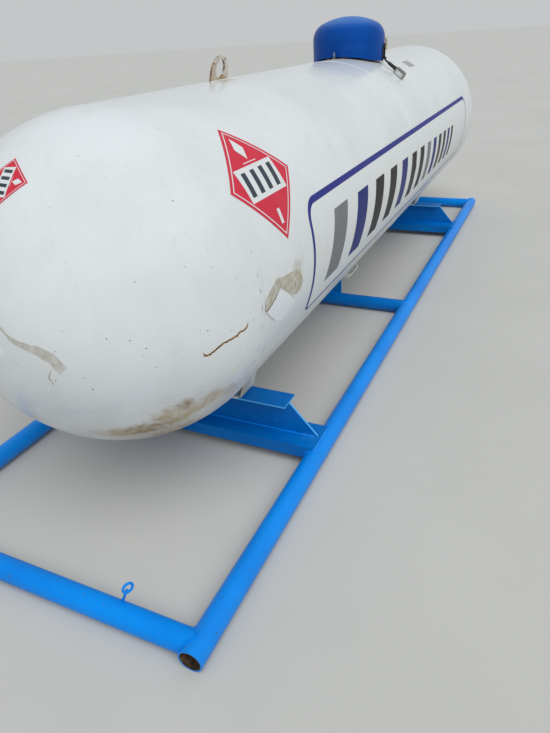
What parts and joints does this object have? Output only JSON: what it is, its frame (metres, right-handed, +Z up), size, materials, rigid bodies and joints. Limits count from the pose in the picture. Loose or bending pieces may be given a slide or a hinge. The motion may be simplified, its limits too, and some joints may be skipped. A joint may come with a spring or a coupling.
{
  "type": "horizontal pressure tank",
  "caption": "Horizontal steel gas tank with domed ends, a hinged blue hood over its valves, short legs and a welded blue pipe skid.",
  "frame": {"origin": "middle of the whole object's box, on the ground", "axes": "+X along the tank from the near end to the far end, +Z up; the side with the striped panel and the sensor box faces -Y"},
  "size_m": [5.037, 1.2228, 1.472],
  "materials": {
    "skid_blue": "semi-gloss",
    "tank_white": "semi-gloss",
    "head_white": "semi-gloss",
    "weld_white": "semi-gloss",
    "lug_white": "matt",
    "hood_blue": "semi-gloss",
    "bare_steel": "galvanised",
    "brass": "satin",
    "gauge_dark": "satin",
    "box_plastic": "satin",
    "black_plastic": "satin",
    "cable_black": "matt",
    "plate_steel": "weathered",
    "black_rubber": "matt"
  },
  "bodies": {
    "tank": {"runner_left": "skid_blue", "runner_right": "skid_blue", "end_pipe_near": "skid_blue", "end_pipe_far": "skid_blue", "mid_pipe": "skid_blue", "mid_plate": "skid_blue", "saddle_channel_near": "skid_blue", "saddle_channel_far": "skid_blue", "saddle_plate_near": "skid_blue", "saddle_plate_far": "skid_blue", "saddle_cap_near": "skid_blue", "saddle_cap_far": "skid_blue", "tie_eye": "skid_blue", "leg_near_left": "tank_white", "leg_near_right": "tank_white", "leg_far_left": "tank_white", "leg_far_right": "tank_white", "shell_near": "tank_white", "shell_far": "tank_white", "head_near": "head_white", "head_far": "head_white", "weld_near": "weld_white", "weld_mid": "weld_white", "weld_far": "weld_white", "lug_near": "lug_white", "lug_far": "lug_white", "hinge_bracket": "tank_white", "hinge_pin": "bare_steel", "hasp_staple": "bare_steel", "fill_valve": "brass", "relief_valve": "brass", "service_valve": "brass", "vapour_valve": "brass", "liquid_valve": "brass", "level_gauge": "gauge_dark", "sensor_box": "box_plastic", "sensor_bracket": "bare_steel", "cable_gland": "black_plastic", "sensor_cable": "cable_black", "data_plate": "plate_steel", "under_strap": "tank_white"},
    "hood": {"hood_cover": "hood_blue", "hood_strap": "hood_blue", "hood_hasp": "hood_blue", "notch_trim": "black_rubber"}
  },
  "joints": [
    {"name": "hood_hinge", "type": "hinge", "parent": "tank", "child": "hood", "pos_m": [0.698, 0, 1.293], "axis": [0, 1, 0], "range_deg": [0, 95]}
  ]
}
